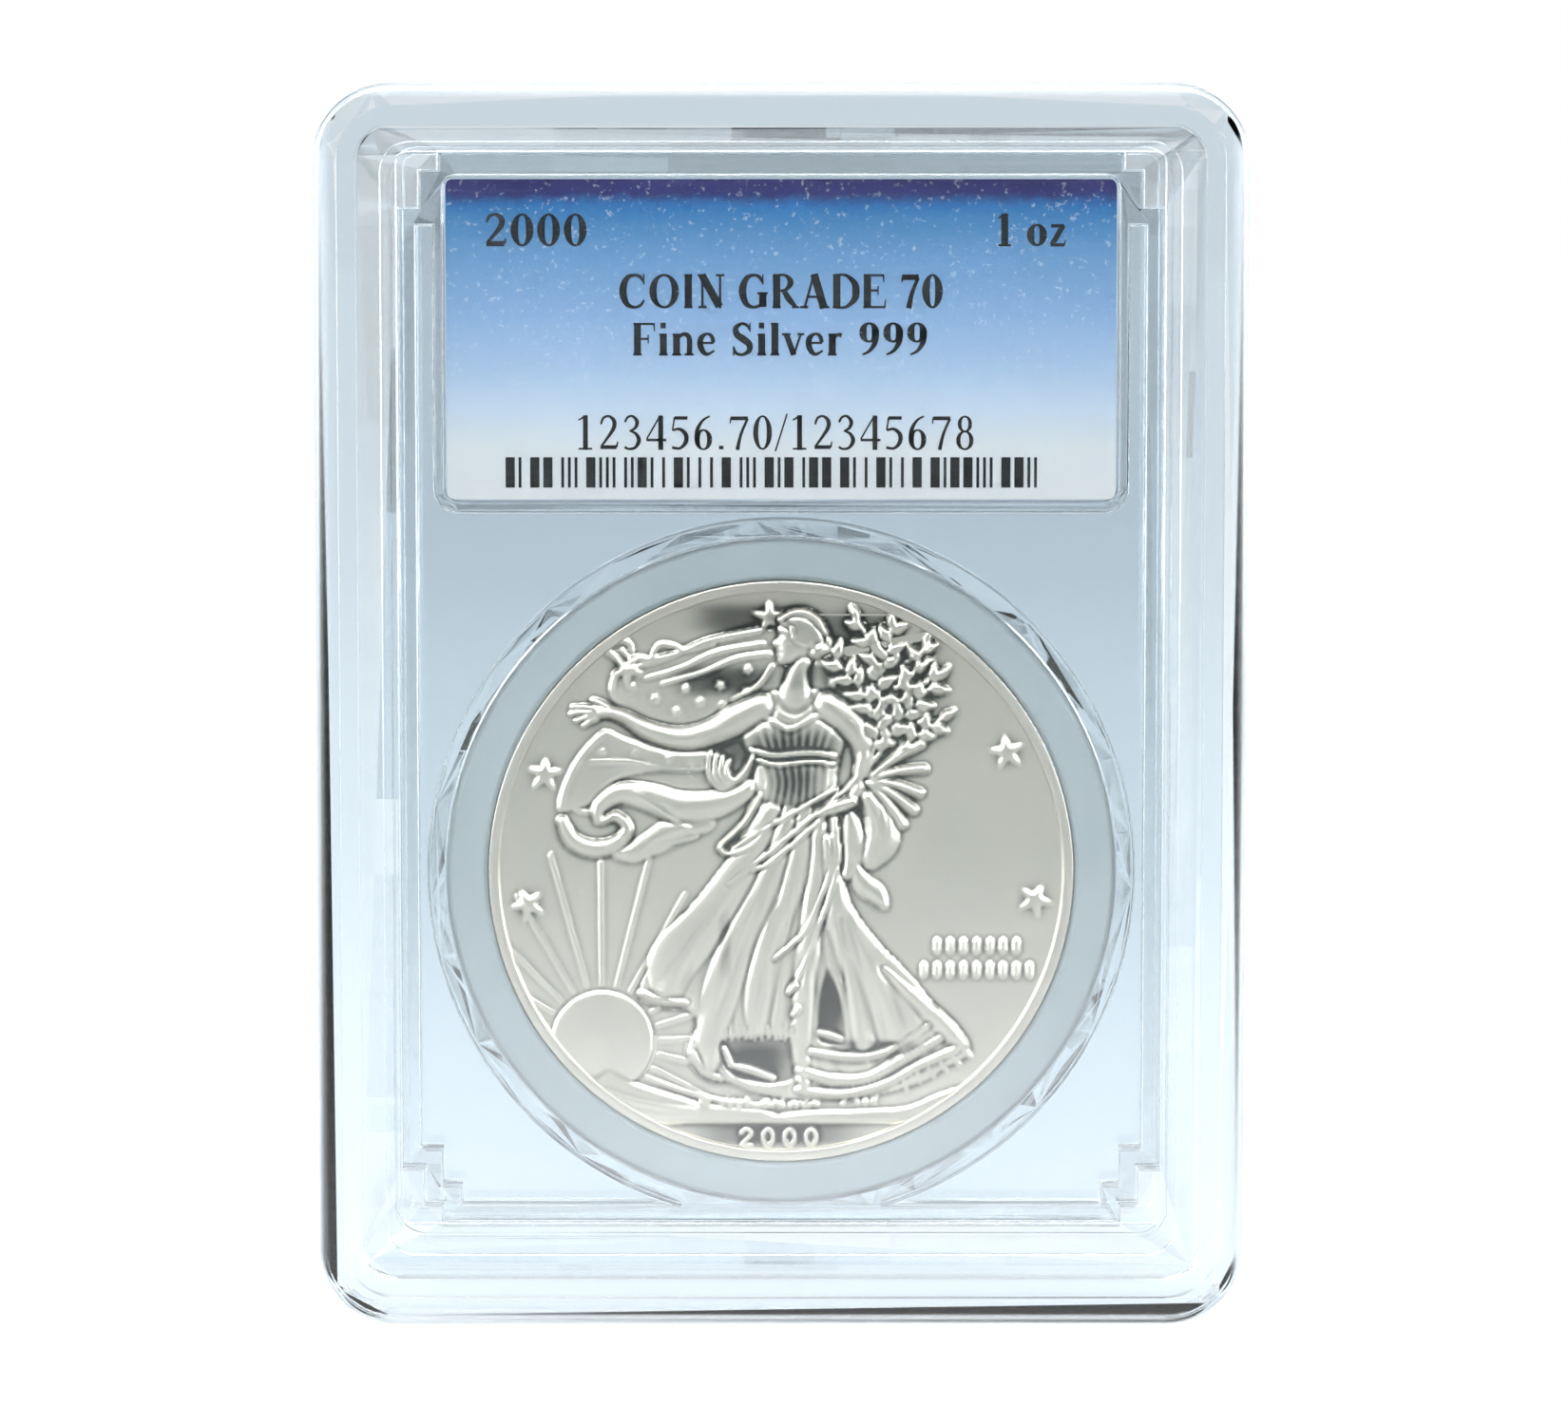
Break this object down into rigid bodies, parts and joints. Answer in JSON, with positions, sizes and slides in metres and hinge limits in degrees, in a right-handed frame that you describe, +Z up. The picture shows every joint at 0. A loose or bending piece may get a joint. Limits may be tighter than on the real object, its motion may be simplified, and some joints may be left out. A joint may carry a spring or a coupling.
{
  "type": "graded coin slab",
  "caption": "Clear welded plastic slab with a raised rim, holding a silver coin in a round ring under a printed paper card.",
  "frame": {"origin": "middle of the bottom edge, halfway through the thickness", "axes": "+Z up towards the card, +X to the right seen from the front, the front face looks along -Y"},
  "size_m": [0.0642, 0.008, 0.086],
  "materials": {
    "clear_case": "gloss",
    "clear_core": "gloss",
    "ring": "satin",
    "silver": "satin",
    "card": "matte",
    "foil": "polished"
  },
  "bodies": {
    "case": {"front_shell": "clear_case", "rear_shell": "clear_case", "core_front": "clear_core", "core_rear": "clear_core", "gasket_ring": "ring", "label_card": "card", "seal_foil": "foil"},
    "coin": {"coin": "silver"}
  },
  "joints": [
    {"name": "coin_turn", "type": "hinge", "parent": "case", "child": "coin", "pos_m": [0, 0, 0.0315], "axis": [0, -1, 0], "continuous": true}
  ]
}
